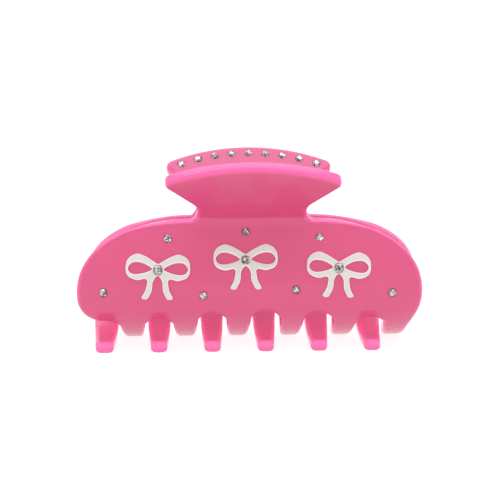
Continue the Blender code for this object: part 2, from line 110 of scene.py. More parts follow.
# %% A wire and a tree
class Wire:
    """One output of a node. Arithmetic on it adds Math nodes to its tree."""

    def __init__(self, tree, socket):
        self.tree = tree
        self.socket = socket

    def out(self, name):
        """Another output of the same node."""
        return Wire(self.tree, self.socket.node.outputs[name])

    def maths(self, operation, *others):
        """A Math node fed by this wire and then the others."""
        return self.tree.add("ShaderNodeMath", {"operation": operation}, dict(enumerate((self, *others))))

    def __add__(self, other):
        return self.maths("ADD", other)

    def __mul__(self, other):
        return self.maths("MULTIPLY", other)

    def __rsub__(self, other):
        return self.tree.add("ShaderNodeMath", {"operation": "SUBTRACT"}, {0: other, 1: self})

    __radd__ = __add__


class Tree:
    """A node tree, emptied and then filled node by node."""

    def __init__(self, nodes):
        self.nodes = nodes
        nodes.nodes.clear()

    def add(self, kind, settings=None, sockets=None):
        """A new node: its settings are set first, then each socket gets a value or a wire."""
        node = self.nodes.nodes.new(kind)
        for name, value in (settings or {}).items():
            setattr(node, name, value)
        for name, value in (sockets or {}).items():
            socket = node.inputs[name] if isinstance(name, int) else self.named(node.inputs, name)
            if isinstance(value, Wire):
                self.nodes.links.new(value.socket, socket)
            else:
                socket.default_value = value
        shown = [socket for socket in node.outputs if socket.enabled]
        return Wire(self, shown[0]) if shown else node

    def vector(self, operation, *sockets, **named_sockets):
        """A Vector Math node, fed in order and then by name."""
        sockets = {**dict(enumerate(sockets)), **named_sockets}
        return self.add("ShaderNodeVectorMath", {"operation": operation}, sockets)

    @staticmethod
    def named(sockets, name):
        """The socket of that name that the node's settings leave in use."""
        return next(socket for socket in sockets if socket.name == name and socket.enabled)


# %% [markdown]
# ## The bend of the sheet
#
# Each jaw starts as a flat outline cut from 4 mm acetate sheet, which is then softened with heat and
# pressed round a former. So the jaw is drawn flat here too, in two numbers: x along the clip, and s up
# the middle of the sheet from the tooth tips. A list of straights and bends gives where each s ends up.
# The neck stands upright beside the pin. The lever leans out above it. Below it the body leans out and
# then curls in, tightly at first and more gently along the teeth, whose tips come out nearly level.

# %% Driving sizes
SHEET = 4.0 * MM
NECK_GAP = 5.0 * MM
NECK_BEND = 6.0 * MM
LEVER_LEAN = math.radians(46)
LEVER_RUN = 23.3 * MM
BODY_LEAN = math.radians(26)
BODY_RUN = 12.2 * MM
CURL_BEND = 13.0 * MM
CURL_LEAN = math.radians(40)
TOOTH_BEND = 30.0 * MM
TIP_LEAN = math.radians(88.6)

pin_low, pin_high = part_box("hinge_pin")
PIN_Z = (pin_low.z + pin_high.z) / 2
jaw_low, jaw_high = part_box("front_jaw")
BODY_LEFT, BODY_RIGHT = -jaw_low.x, jaw_high.x
body_ends = [round(x / MM, 1) for x in (-BODY_LEFT, BODY_RIGHT)]
print("pin at", round(PIN_Z / MM, 2), "and body ends at", body_ends)

# %% The bent middle line
BEND_STEP = math.radians(3)
LEAD = 0.2 * MM  # a point this far inside each end of a straight keeps its direction exact


def walk(pieces):
    """Points (s, out, up) from the neck along straights (length, 0) and bends (radius, turn)."""
    line = [(0.0, NECK_GAP / 2 + SHEET / 2, 0.0)]
    lean = 0.0
    for size, turn in pieces:
        s, out, up = line[-1]
        if not turn:
            for reach in (LEAD, size - LEAD, size):
                line.append((s + reach, out + reach * math.sin(lean), up + reach * math.cos(lean)))
            continue
        steps = math.ceil(abs(turn) / BEND_STEP)
        step = turn / steps
        chord = 2 * size * math.sin(abs(step) / 2)
        for _ in range(steps):
            s, out, up = line[-1]
            heading = lean + step / 2
            out, up = out + chord * math.sin(heading), up + chord * math.cos(heading)
            line.append((s + size * abs(step), out, up))
            lean += step
    return line


upper = walk([(NECK_BEND, LEVER_LEAN), (LEVER_RUN, 0)])
curl = [(CURL_BEND, -BODY_LEAN - CURL_LEAN), (TOOTH_BEND, CURL_LEAN - TIP_LEAN)]
lower = walk([(NECK_BEND, BODY_LEAN), (BODY_RUN, 0), *curl])
NECK_S = lower[-1][0]
BEND_LINE = [(NECK_S - s, out, PIN_Z - up) for s, out, up in reversed(lower)]
BEND_LINE += [(NECK_S + s, out, PIN_Z + up) for s, out, up in upper[1:]]
TOP_S = BEND_LINE[-1][0]
print("sheet length:", round(TOP_S / MM, 2), "mm, in", len(BEND_LINE) - 1, "stretches")

# %% [markdown]
# ## The flat outline
#
# The outline is cut with a router, so it is all straights, arcs and one fair curve at each end of the
# body. Its teeth sit a quarter of a pitch to the right of the middle. The rear jaw is the same piece
# turned round, which moves its teeth to the left by as much, and that is why they interlock.

# %% Sizes of the outline
SHOULDER_RISE = 1.3 * MM
WIDEST_BELOW_SHOULDER = 24.2 * MM
END_FULLNESS = 2.15
NECK_WIDTH = 34.6 * MM
NECK_FILLET = (2.5 * MM, 4.0 * MM)
LEVER_WIDTH = 54.4 * MM
LEVER_CORNER = 2.4 * MM
LEVER_CROWN = 60.0 * MM
FLANK_SLANT = math.radians(43)
FLARE_BEND = 6.0 * MM
TEETH = 6
TOOTH_PITCH = 17.0 * MM
TOOTH_OFFSET = TOOTH_PITCH / 4
TOOTH_ROOT = 8.0 * MM
TOOTH_TIP = 5.3 * MM
TIP_CORNER = 2.2 * MM
ARCH_RADIUS = (TOOTH_PITCH - TOOTH_ROOT) / 2
ARCH_RISE = 26.8 * MM
ARCH_CROWN = 160.0 * MM
LOBE_RISE = 22.4 * MM
SIDE_TOOTH_FLARE = 0.5 * MM
SHOULDER_S = NECK_S + SHOULDER_RISE
WIDEST_S = SHOULDER_S - WIDEST_BELOW_SHOULDER

# %% Arcs with enough points to look round
ARC_TURN = math.radians(9)
ARC_STRIDE = 1.2 * MM


def arc(x, s, radius, start, end, tall=None):
    """Points round an arc, or an ellipse `tall` high, from one angle in degrees to another."""
    sweep = math.radians(abs(end - start))
    steps = math.ceil(max(sweep / ARC_TURN, sweep * radius / ARC_STRIDE))
    points = []
    for i in range(steps + 1):
        angle = math.radians(start + (end - start) * i / steps)
        points.append((x + radius * math.cos(angle), s + (tall or radius) * math.sin(angle)))
    return points


# %% Lever, neck and shoulders
def lever_side():
    """The right side, from the shoulder's fillet up to the lever's crown, and the crown's half angle."""
    neck = NECK_WIDTH / 2
    wide, tall = NECK_FILLET
    corner_x = LEVER_WIDTH / 2 - LEVER_CORNER
    swing = math.asin(corner_x / (LEVER_CROWN - LEVER_CORNER))
    corner_s = TOP_S - LEVER_CROWN + (LEVER_CROWN - LEVER_CORNER) * math.cos(swing)
    slant = math.degrees(FLANK_SLANT)
    flank_x = corner_x + LEVER_CORNER * math.cos(FLANK_SLANT)
    flank_s = corner_s - LEVER_CORNER * math.sin(FLANK_SLANT)
    flare_x = neck + FLARE_BEND * (1 - math.cos(FLANK_SLANT))
    flare_s = flank_s - (flank_x - flare_x) / math.tan(FLANK_SLANT) - FLARE_BEND * math.sin(FLANK_SLANT)
    points = arc(neck + wide, SHOULDER_S + tall, wide, 270, 180, tall)
    points += arc(neck + FLARE_BEND, flare_s, FLARE_BEND, 180, 180 - slant)
    points += arc(corner_x, corner_s, LEVER_CORNER, -slant, 90 - math.degrees(swing))
    return points, math.degrees(swing)


def body_end(reach):
    """A body end, from its widest point up to the shoulder: a little fuller than an ellipse."""
    start = NECK_WIDTH / 2 + NECK_FILLET[0]
    power = 2 / END_FULLNESS
    steps = 48
    points = []
    for i in range(steps):
        angle = math.pi / 2 * i / steps
        x = start + (reach - start) * math.cos(angle) ** power
        points.append((x, WIDEST_S + WIDEST_BELOW_SHOULDER * math.sin(angle) ** power))
    return points


# %% Teeth and arches
def arch_top(x):
    """The arches follow a shallow crown, highest near the middle."""
    return ARCH_RISE - (x - TOOTH_OFFSET) ** 2 / (2 * ARCH_CROWN)


def tooth_centre(k):
    return (k - (TEETH - 1) / 2) * TOOTH_PITCH + TOOTH_OFFSET


def tooth_outline(k):
    """The rounded tip of one tooth, then the arch after it."""
    x = tooth_centre(k)
    reach = TOOTH_TIP / 2 - TIP_CORNER
    flare = SIDE_TOOTH_FLARE if k == TEETH - 1 else 0
    points = arc(x - reach, TIP_CORNER, TIP_CORNER, 180, 270)
    points += arc(x + reach + flare, TIP_CORNER, TIP_CORNER, 270, 360)
    if k < TEETH - 1:
        gap = x + TOOTH_PITCH / 2
        points += arc(gap, arch_top(gap) - ARCH_RADIUS, ARCH_RADIUS, 180, 0)
    return points


# %% The whole outline
def jaw_outline():
    """The flat jaw, anticlockwise from its first tooth."""
    points = []
    for k in range(TEETH):
        points += tooth_outline(k)
    foot_x = tooth_centre(TEETH - 1) + TOOTH_ROOT / 2
    foot_s = arch_top(foot_x) - ARCH_RADIUS
    steps = 20
    for i in range(steps):
        t = i / steps
        ease = t * t * (3 - 2 * t)
        points.append((foot_x + (BODY_RIGHT - foot_x) * ease, foot_s + (WIDEST_S - foot_s) * t))
    side, swing = lever_side()
    points += body_end(BODY_RIGHT) + side
    points += arc(0, TOP_S - LEVER_CROWN, LEVER_CROWN, 90 - swing, 90 + swing)[1:-1]
    points += [(-x, s) for x, s in reversed(side)]
    points += [(-x, s) for x, s in reversed(body_end(BODY_LEFT))]
    first_gap = tooth_centre(0) - TOOTH_PITCH / 2
    points += arc(first_gap, WIDEST_S, BODY_LEFT + first_gap, 180, 270, WIDEST_S - LOBE_RISE)[1:]
    points += arc(first_gap, LOBE_RISE - ARCH_RADIUS, ARCH_RADIUS, 90, 0)[1:]
    return points


OUTLINE = jaw_outline()
print("outline points:", len(OUTLINE))

# %% [markdown]
# ## From outline to solid sheet
#
# After cutting, acetate pieces are tumbled with wooden pegs for days, which rounds every edge. The
# rounding is built as rings: the same outline, moved in and up a little at a time round a quarter
# circle. One more ring lies flat inside the last, so that the flat face stays flat in the shading.
# Holes and crystal seats are rings as well, and the flat faces are filled between all of them.


# %% Rings and walls
SHARPEST_MITRE = 0.6  # keeps a sharp corner from being thrown too far
ROUND_STEPS = 5


def inset(points, distance):
    """A closed anticlockwise outline moved inwards, or a clockwise one moved outwards."""
    moved = []
    for i, here in enumerate(points):
        here = Vector(here)
        before, after = Vector(points[i - 1]), Vector(points[(i + 1) % len(points)])
        first, second = (here - before).normalized(), (after - here).normalized()
        left = Vector((-first.y - second.y, first.x + second.x)).normalized()
        mitre = left.dot(Vector((-first.y, first.x)))
        moved.append(tuple(here + left * distance / max(SHARPEST_MITRE, mitre)))
    return moved


def add_ring(shape, points, depth, edge):
    """Verts of one ring, each marked with how much it belongs to the rounded edge."""
    mark = shape.verts.layers.float.get("edge") or shape.verts.layers.float.new("edge")
    verts = [shape.verts.new((x, s, depth)) for x, s in points]
    for vert in verts:
        vert[mark] = edge
    return verts


def join_rings(shape, rings):
    for low, high in zip(rings, rings[1:]):
        for i in range(len(low)):
            shape.faces.new((low[i - 1], low[i], high[i], high[i - 1]))


def ring_edges(shape, ring):
    return [shape.edges.get((ring[i - 1], ring[i])) for i in range(len(ring))]


def rounded(points, low, high, radius, flat, both):
    """(points, depth, edge) rings up a wall whose top edge, or both edges, are rounded."""
    top = []
    for i in range(ROUND_STEPS + 1):
        angle = math.pi / 2 * i / ROUND_STEPS
        ring = inset(points, radius * (1 - math.cos(angle)))
        top.append((ring, high - radius * (1 - math.sin(angle)), math.cos(angle)))
    top.append((inset(points, radius + flat), high, 0.0))
    if both:
        return [(ring, low + high - depth, edge) for ring, depth, edge in reversed(top)] + top
    return [(points, low, 1.0)] + top


def add_wall(shape, levels):
    """A closed wall of rings. Returns its lowest ring and its highest."""
    rings = [add_ring(shape, *level) for level in levels]
    join_rings(shape, rings)
    return rings[0], rings[-1]


def add_walls(shape, walls):
    """The walls round a flat piece and its holes. Returns their lower edges and their upper edges."""
    below, above = [], []
    for levels in walls:
        low, high = add_wall(shape, levels)
        below += ring_edges(shape, low)
        above += ring_edges(shape, high)
    return below, above


def fill(shape, *rims):
    """Fills a flat face between the rings in each set of edges."""
    for edges in rims:
        bmesh.ops.triangle_fill(shape, use_beauty=True, use_dissolve=False, edges=edges)


# %% Cut at the bends
ON_THE_LINE = 1e-7  # a point this near a bend counts as on it


def cut_at_bends(shape):
    """Cuts every face along each corner of the bend line, so that the flat shape can bend there."""
    low = min(vert.co.y for vert in shape.verts)
    high = max(vert.co.y for vert in shape.verts)
    for s, _, _ in BEND_LINE[1:-1]:
        if low < s < high:
            everything = shape.verts[:] + shape.edges[:] + shape.faces[:]
            bmesh.ops.bisect_plane(
                shape, geom=everything, dist=ON_THE_LINE, plane_co=(0, s, 0), plane_no=(0, 1, 0)
            )
    bmesh.ops.triangulate(shape, faces=[face for face in shape.faces if len(face.verts) > 4])


def mesh_of(shape, name):
    """The shape as a mesh with its faces turned outwards. The shape is used up."""
    bmesh.ops.recalc_face_normals(shape, faces=shape.faces)
    mesh = bpy.data.meshes.new(name)
    shape.to_mesh(mesh)
    shape.free()
    return mesh


def finish_flat(shape, name):
    """The flat shape as an object, cut at the bends."""
    cut_at_bends(shape)
    return new_object(name, mesh_of(shape, name))


# %% [markdown]
# ## Where the crystals and bows go
#
# The trim is laid out on the flat sheet, from the shoulders down, and on the inside of the lever along
# its crowned edge. Each crystal is glued into a shallow drilled seat, so it can't be knocked off.

# %% Places of the trim
CRYSTAL = 2.55 * MM
KNOT_CRYSTAL = 2.8 * MM
SEAT_DEPTH = 0.5 * MM
SEAT_CLEARANCE = 0.05 * MM
LEVER_CRYSTALS = 9
LEVER_ROW_MARGIN = 4.8 * MM
LEVER_CRYSTAL_PITCH = (LEVER_WIDTH - 2 * LEVER_ROW_MARGIN) / (LEVER_CRYSTALS - 1)
LEVER_CRYSTAL_INSET = 3.1 * MM
BOW_SHEET = 1.0 * MM
KNOT_SEAT = 0.45 * MM

# In millimetres: x, how far down the sheet from the shoulders, and for a bow its turn in degrees.
FACE_CRYSTALS = [
    (-26.7, 6.8), (-2.0, 4.6), (21.5, 6.6), (-47.0, 23.1), (-15.6, 24.2), (13.7, 22.7), (44.2, 23.8),
]
BOW_PLACES = [(-29.8, 17.1, -2.0), (-2.2, 14.2, 0.0), (27.2, 16.9, -2.0)]

face_places = [(x * MM, SHOULDER_S - drop * MM) for x, drop in FACE_CRYSTALS]
knot_places = [(x * MM, SHOULDER_S - drop * MM) for x, drop, _ in BOW_PLACES]
lever_places = []
for i in range(LEVER_CRYSTALS):
    x = (i - (LEVER_CRYSTALS - 1) / 2) * LEVER_CRYSTAL_PITCH
    row_radius = LEVER_CROWN - LEVER_CRYSTAL_INSET
    lever_places.append((x, TOP_S - LEVER_CROWN + math.sqrt(row_radius**2 - x**2)))
print("crystals on each jaw:", len(face_places) + len(knot_places) + len(lever_places))


# %% The jaw as flat sheet
EDGE_ROUND = 1.3 * MM
EDGE_FLAT_RING = 0.25 * MM
SEAT_RIM = 0.09 * MM


def circle(centre, radius, steps=20):
    """Points round a circle, anticlockwise."""
    angles = [2 * math.pi * i / steps for i in range(steps)]
    return [(centre[0] + radius * math.cos(a), centre[1] + radius * math.sin(a)) for a in angles]


def add_seat(shape, centre, face, width, depth, flat=0.0):
    """A drilled seat with a softened rim, and a flat ring round it if asked. Returns its outer edges."""
    inward = -1 if face > 0 else 1
    radius = width / 2 + SEAT_CLEARANCE
    levels = [(radius + SEAT_RIM, 0.0), (radius + SEAT_RIM / 3, SEAT_RIM / 3), (radius, SEAT_RIM)]
    levels = [(radius + SEAT_RIM + flat, 0.0)] * (flat > 0) + levels + [(radius, depth)]
    rings = [add_ring(shape, circle(centre, r), face + inward * down, 0.0) for r, down in levels]
    join_rings(shape, rings)
    shape.faces.new(rings[-1])
    return ring_edges(shape, rings[0])


def flat_jaw():
    """The whole jaw before it is bent, with its outer face at the higher depth."""
    half = SHEET / 2
    shape = bmesh.new()
    wall = rounded(OUTLINE, -half, half, EDGE_ROUND, EDGE_FLAT_RING, both=True)
    inside, outside = add_walls(shape, [wall])
    for place in face_places:
        outside += add_seat(shape, place, half, CRYSTAL, SEAT_DEPTH, SEAT_RIM)
    for place in lever_places:
        inside += add_seat(shape, place, -half, CRYSTAL, SEAT_DEPTH, SEAT_RIM)
    fill(shape, outside, inside)
    return finish_flat(shape, "flat_jaw")


jaw_blank = flat_jaw()
print("flat jaw:", len(jaw_blank.data.polygons), "faces")

# %% [markdown]
# ## The bows
#
# Each bow is cut from thin white sheet. It is drawn as its right half, a few points that a smooth closed
# curve runs through, and mirrored. The two loops are cut right through, so the pink shows in them. The
# ribbon narrows to 0.7 mm at the loops' ends, so each edge has to be rounded by less than half of that.

# %% Draw a bow
BOW_NOTCH = (0.0, 2.0)
BOW_HALF = [
    (0.95, 2.5), (2.4, 3.45), (4.1, 4.4), (6.4, 5.2), (8.5, 4.4), (9.4, 3.45), (9.9, 2.5), (10.1, 0.9),
    (10.0, -0.6), (9.6, -1.55), (8.75, -2.45), (6.6, -3.2), (5.2, -3.0), (3.9, -2.75), (3.25, -3.4),
    (3.3, -4.25), (3.5, -5.45), (3.8, -6.65), (4.4, -7.85), (4.85, -8.75), (4.4, -9.2), (3.2, -9.15),
    (2.4, -7.85), (1.85, -6.65), (1.65, -5.45), (1.6, -4.25), (1.35, -3.35), (0.9, -2.5),
]
BOW_CROTCH = (0.0, -1.75)
BOW_HOLE = [
    (1.8, 0.35), (3.3, 1.6), (5.2, 2.4), (6.8, 2.62), (8.1, 2.35), (9.0, 1.55), (9.42, 0.6), (9.3, -0.15),
    (8.7, -0.95), (7.9, -1.3), (6.8, -1.4), (5.3, -1.2), (3.2, -0.6),
]
BOW_ROUND = 0.26 * MM
BOW_FLAT_RING = 0.03 * MM
BOW_SINK = 0.03 * MM  # into the jaw, so that no gap shows under its edge


def smooth(points, steps=5):
    """A closed curve through the points (Catmull-Rom)."""
    made = []
    for i in range(len(points)):
        a, b, c, d = (Vector(points[(i + j) % len(points)]) for j in (-1, 0, 1, 2))
        for k in range(steps):
            t = k / steps
            bent = (a * 2 - b * 5 + c * 4 - d) * t**2 + (b * 3 - a - c * 3 + d) * t**3
            made.append(tuple((b * 2 + (c - a) * t + bent) / 2))
    return made


def mirrored(points):
    """The left half of a drawing, from its right half."""
    return [(-u, v) for u, v in reversed(points)]


CURL_TOP_S = NECK_S - NECK_BEND * BODY_LEAN - BODY_RUN
CURL_STRETCH = (CURL_BEND + SHEET / 2 + BOW_SHEET / 2) / CURL_BEND


def up_the_face(s, rise):
    """Where on the sheet a point lies that is `rise` further up the face, which the curl stretches."""
    above_curl = s - CURL_TOP_S
    above_curl = above_curl * (CURL_STRETCH if above_curl < 0 else 1) + rise
    return CURL_TOP_S + above_curl / (CURL_STRETCH if above_curl < 0 else 1)


def laid(points, place):
    """Drawn points in millimetres, turned and moved to their place on the flat sheet."""
    x, drop, degrees = place
    turn = Matrix.Rotation(math.radians(degrees), 2)
    spots = [turn @ Vector(point) * MM for point in points]
    return [(x * MM + spot.x, up_the_face(SHOULDER_S - drop * MM, spot.y)) for spot in spots]


# %% Cut the bows
def flat_bow(place, knot):
    """One bow lying on the flat sheet: its outline runs anticlockwise and its holes clockwise."""
    base = SHEET / 2 - BOW_SINK
    top = SHEET / 2 + BOW_SHEET
    shape = bmesh.new()
    outline = smooth([BOW_NOTCH] + BOW_HALF + [BOW_CROTCH] + mirrored(BOW_HALF))
    loops = [list(reversed(outline)), smooth(BOW_HOLE), smooth(mirrored(BOW_HOLE))]
    below, above = add_walls(shape, [
        rounded(laid(loop, place), base, top, BOW_ROUND, BOW_FLAT_RING, both=False) for loop in loops
    ])
    above += add_seat(shape, knot, top, KNOT_CRYSTAL, KNOT_SEAT)
    fill(shape, above, below)
    return finish_flat(shape, "flat_bow")


bow_blanks = [flat_bow(place, knot) for place, knot in zip(BOW_PLACES, knot_places)]
print("flat bows:", [len(blank.data.polygons) for blank in bow_blanks])

# %% [markdown]
# ## Bending it all with Geometry Nodes
#
# The press bends sheet, bows and seats alike, so one small tree does too. It samples the bend line at
# each point's s. The curve's tangent there runs up the sheet, and crossed with x it gives the outward
# direction, along which the point keeps its depth. Mesh code could do the same sums, but a tree shows
# them as one rule that any flat piece can be sent through.

# %% The bend line as a curve
def poly_curve(name, places):
    """A curve that runs straight from each place to the next."""
    data = bpy.data.curves.new(name, "CURVE")
    data.dimensions = "3D"
    spline = data.splines.new("POLY")
    spline.points.add(len(places) - 1)
    for point, place in zip(spline.points, places):
        point.co = (*place, 1)
    return data


bend_line = new_object("bend_line", poly_curve("bend_line", [(0, -out, up) for _, out, up in BEND_LINE]))
print("bend line:", len(bend_line.data.splines[0].points), "points")


# %% The bending tree
def new_tree(name, inputs):
    """A Geometry Nodes tree with named inputs. Returns it, its input node and the inputs' identifiers."""
    group = bpy.data.node_groups.new(name, "GeometryNodeTree")
    group.interface.new_socket("Geometry", in_out="INPUT", socket_type="NodeSocketGeometry")
    keys = {}
    for label, kind in inputs.items():
        keys[label] = group.interface.new_socket(label, in_out="INPUT", socket_type=kind).identifier
    group.interface.new_socket("Geometry", in_out="OUTPUT", socket_type="NodeSocketGeometry")
    tree = Tree(group)
    return tree, tree.add("NodeGroupInput"), keys


def on_sheet(tree, flat, line_object):
    """Where a flat (x, s, depth) goes once the sheet is bent, and which way is outwards there."""
    parts = tree.add("ShaderNodeSeparateXYZ", None, {"Vector": flat})
    line = tree.add("GeometryNodeObjectInfo", None, {"Object": line_object}).out("Geometry")
    sample = tree.add(
        "GeometryNodeSampleCurve",
        {"mode": "LENGTH", "use_all_curves": True},
        {"Curves": line, "Length": parts.out("Y")},
    )
    along = tree.add("ShaderNodeCombineXYZ", None, {"X": 1.0})
    outward = tree.vector("CROSS_PRODUCT", along, sample.out("Tangent"))
    outward = tree.vector("NORMALIZE", outward)
    raised = tree.vector("SCALE", outward, Scale=parts.out("Z"))
    place = tree.vector("ADD", sample.out("Position"), raised)
    sideways = tree.add("ShaderNodeCombineXYZ", None, {"X": parts.out("X")})
    return tree.vector("ADD", place, sideways), outward


def store(tree, geometry, name, value, kind="FLOAT", domain="POINT"):
    """The geometry with a value kept on it under a name."""
    return tree.add(
        "GeometryNodeStoreNamedAttribute", {"data_type": kind, "domain": domain},
        {"Geometry": geometry, "Name": name, "Value": value},
    )


def end_tree(tree, geometry, finish):
    """Realized, given its material, and sent out."""
    solid = tree.add("GeometryNodeRealizeInstances", None, {"Geometry": geometry})
    finished = tree.add("GeometryNodeSetMaterial", None, {"Geometry": solid, "Material": finish})
    tree.add("NodeGroupOutput", None, {"Geometry": finished})


bending, entry, bending_keys = new_tree(
    "press_to_shape", {"Bend line": "NodeSocketObject", "Finish": "NodeSocketMaterial"}
)
flat_place = bending.add("GeometryNodeInputPosition")
bent_place, _ = on_sheet(bending, flat_place, entry.out("Bend line"))
flat_depth = bending.add("ShaderNodeSeparateXYZ", None, {"Vector": flat_place}).out("Z")
marked = store(bending, entry, "inside", flat_depth.maths("LESS_THAN", 0.0))
pressed = bending.add("GeometryNodeSetPosition", None, {"Geometry": marked, "Position": bent_place})
end_tree(bending, pressed, entry.out("Finish"))
print("bending tree:", len(bending.nodes.nodes), "nodes")

# %% [markdown]
# ## Finishes
#
# Acetate is a clear plastic full of pigment, so light goes a little way into it. Its colour drifts
# slightly through the block that the sheet was sliced from. The edges are painted paler, a painted
# highlight for the light that gets in there from two sides. Those two things carry the colour, and
# faint waves left by polishing the gloss.

# %% One way to start a finish
def new_finish(name):
    """A material with an empty tree, and the object's own coordinates to work from."""
    material = bpy.data.materials.new(name)
    material.use_nodes = True
    tree = Tree(material.node_tree)
    return material, tree, tree.add("ShaderNodeTexCoord").out("Object")


def noise(tree, place, size, detail=2.0, distortion=0.0):
    """Soft random values from 0 to 1 whose patches are about `size` across."""
    return tree.add(
        "ShaderNodeTexNoise", None,
        {"Vector": place, "Scale": 1 / size, "Detail": detail, "Distortion": distortion},
    )


def blend_colours(tree, share, first, second):
    """The first colour where share is 0, the second where it is 1."""
    return tree.add("ShaderNodeMix", {"data_type": "RGBA"}, {"Factor": share, "A": first, "B": second})


def end_finish(tree, sockets):
    """The shader with its sockets, and the material's output."""
    shader = tree.add("ShaderNodeBsdfPrincipled", None, sockets)
    tree.add("ShaderNodeOutputMaterial", None, {"Surface": shader})


def bump(tree, height, depth):
    """A normal from a height that runs from 0 to 1 over `depth`."""
    return tree.add("ShaderNodeBump", None, {"Height": height, "Distance": depth, "Strength": 1.0})


def stored(tree, name):
    """A number kept on the mesh under that name."""
    return tree.add("ShaderNodeAttribute", {"attribute_name": name}).out("Fac")


# %% Pink acetate
PINK_DEEP = (0.46, 0.052, 0.142, 1.0)
PINK_CLEAR = (0.50, 0.061, 0.156, 1.0)
# Painted highlight: the paler pink painted on the rounded edges, for the light caught there.
PINK_PAINTED_EDGE_LIGHT = (0.82, 0.13, 0.40, 1.0)
PINK_GLOW = (0.11, 0.010, 0.028, 1.0)  # light that has come through the sheet
TOOTH_GLOW = (0.33, 0.062, 0.115, 1.0)  # and inside the teeth, which get it from all round
GLOW_HEIGHTS = (20 * MM, 9 * MM)  # where the second takes over from the first
PINK_DRIFT = 22 * MM
POLISH_MARKS = 0.9 * MM
POLISH_WAVES = 5 * MM
POLISH_DEPTH = 0.012 * MM


def make_pink_acetate():
    material, tree, place = new_finish("pink_acetate")
    drift = noise(tree, place, PINK_DRIFT, detail=3.0, distortion=0.6)
    colour = blend_colours(tree, drift, PINK_DEEP, PINK_CLEAR)
    # Painted highlight: the rounded edges are painted paler, standing in for light on the rims.
    colour = blend_colours(tree, stored(tree, "edge") * 0.6, colour, PINK_PAINTED_EDGE_LIGHT)
    height = tree.add("ShaderNodeSeparateXYZ", None, {"Vector": place}).out("Z")
    from_height, to_height = GLOW_HEIGHTS
    low = tree.add(
        "ShaderNodeMapRange", None, {"Value": height, "From Min": from_height, "From Max": to_height}
    )
    glow = blend_colours(tree, stored(tree, "inside") * low, PINK_GLOW, TOOTH_GLOW)
    polish = noise(tree, place, POLISH_MARKS)
    waves = noise(tree, place, POLISH_WAVES)
    end_finish(tree, {
        "Normal": bump(tree, waves + polish * 0.1, POLISH_DEPTH),
        "Base Color": colour,
        "Roughness": 0.2 + polish * 0.07,
        "Subsurface Weight": 0.3,
        "Subsurface Radius": (1.0, 0.25, 0.45),
        "Subsurface Scale": 3 * MM,
        "Emission Color": glow,
        "Emission Strength": 1.0,
        "Coat Weight": 0.25,
        "Coat Roughness": 0.08,
    })
    return material


pink_acetate = make_pink_acetate()

# %% White acetate, with a faint pearl
WHITE_MILK = (0.53, 0.51, 0.465, 1.0)
WHITE_PEARL = (0.58, 0.56, 0.52, 1.0)
# Painted highlight: the lighter white painted on the bows' rounded rims, for the light they catch.
WHITE_PAINTED_EDGE_LIGHT = (0.86, 0.88, 0.85, 1.0)
PEARL_CLOUDS = 6 * MM


def make_white_acetate():
    material, tree, place = new_finish("white_acetate")
    pearl = noise(tree, place, PEARL_CLOUDS, distortion=1.5)
    colour = blend_colours(tree, pearl, WHITE_MILK, WHITE_PEARL)
    # Painted highlight: the rounded rims are painted lighter, standing in for light caught there.
    colour = blend_colours(tree, stored(tree, "edge"), colour, WHITE_PAINTED_EDGE_LIGHT)
    polish = noise(tree, place, 0.8 * MM)
    end_finish(tree, {
        "Normal": bump(tree, polish, 0.004 * MM),
        "Base Color": colour,
        "Roughness": 0.24 + polish * 0.08,
        "Subsurface Weight": 0.1,
        "Subsurface Radius": (0.8, 0.75, 0.7),
        "Subsurface Scale": 0.8 * MM,
        "Coat Weight": 0.2,
    })
    return material


white_acetate = make_white_acetate()

# %% [markdown]
# The crystals are cut glass with a silver foil behind. What the eye sees in one is its facets, each
# sending back another part of the room, some bright and some nearly black. Tracing that through real
# glass takes far more samples than a small stone is worth. So each facet here is a polished mirror
# of its own tone, a painted reflection picked at random from the facet's number and the stone's.

# %% Foil-backed glass
# Painted reflections: the darkest and the brightest tone that a facet is painted with.
FACET_PAINTED_DARK_REFLECTION = (0.035, 0.03, 0.028, 1.0)
FACET_PAINTED_BRIGHT_REFLECTION = (0.93, 0.92, 0.89, 1.0)
FACET_CONTRAST = 1.7  # above 1, more of the facets are dark than bright


def make_crystal_glass():
    material, tree, _ = new_finish("crystal_glass")
    number = tree.add(
        "ShaderNodeCombineXYZ", None, {"X": stored(tree, "facet"), "Y": stored(tree, "stone")}
    )
    pick = tree.add("ShaderNodeTexWhiteNoise", {"noise_dimensions": "3D"}, {"Vector": number})
    tone = pick.maths("POWER", FACET_CONTRAST)
    # Painted reflection: each facet's random tone stands in for the part of the room it would mirror.
    colour = blend_colours(tree, tone, FACET_PAINTED_DARK_REFLECTION, FACET_PAINTED_BRIGHT_REFLECTION)
    end_finish(tree, {
        "Base Color": colour,
        "Metallic": 0.75,
        "Roughness": 0.07 + (1 - tone) * 0.1,
        "Coat Weight": 1.0,
        "Coat Roughness": 0.02,
    })
    return material


crystal_glass = make_crystal_glass()

# %% Zinc-plated steel
ZINC_DULL = (0.52, 0.53, 0.56, 1.0)
ZINC_BRIGHT = (0.70, 0.70, 0.70, 1.0)
ZINC_CLOUDS = 3 * MM
STEEL_GRAIN = 0.25 * MM
GRAIN_STRETCH = (0.15, 1.0, 1.0)  # along the clip, the way the strip was rolled


def make_hinge_steel():
    material, tree, place = new_finish("hinge_steel")
    cloud = noise(tree, place, ZINC_CLOUDS, detail=3.0)
    stretched = tree.add("ShaderNodeMapping", None, {"Vector": place, "Scale": GRAIN_STRETCH})
    grain = noise(tree, stretched, STEEL_GRAIN)
    colour = blend_colours(tree, cloud, ZINC_DULL, ZINC_BRIGHT)
    end_finish(tree, {
        "Normal": bump(tree, grain, 0.006 * MM),
        "Base Color": colour,
        "Metallic": 1.0,
        "Roughness": 0.22 + grain * 0.2,
    })
    return material


hinge_steel = make_hinge_steel()
print("finishes:", [m.name for m in (pink_acetate, white_acetate, crystal_glass, hinge_steel)])

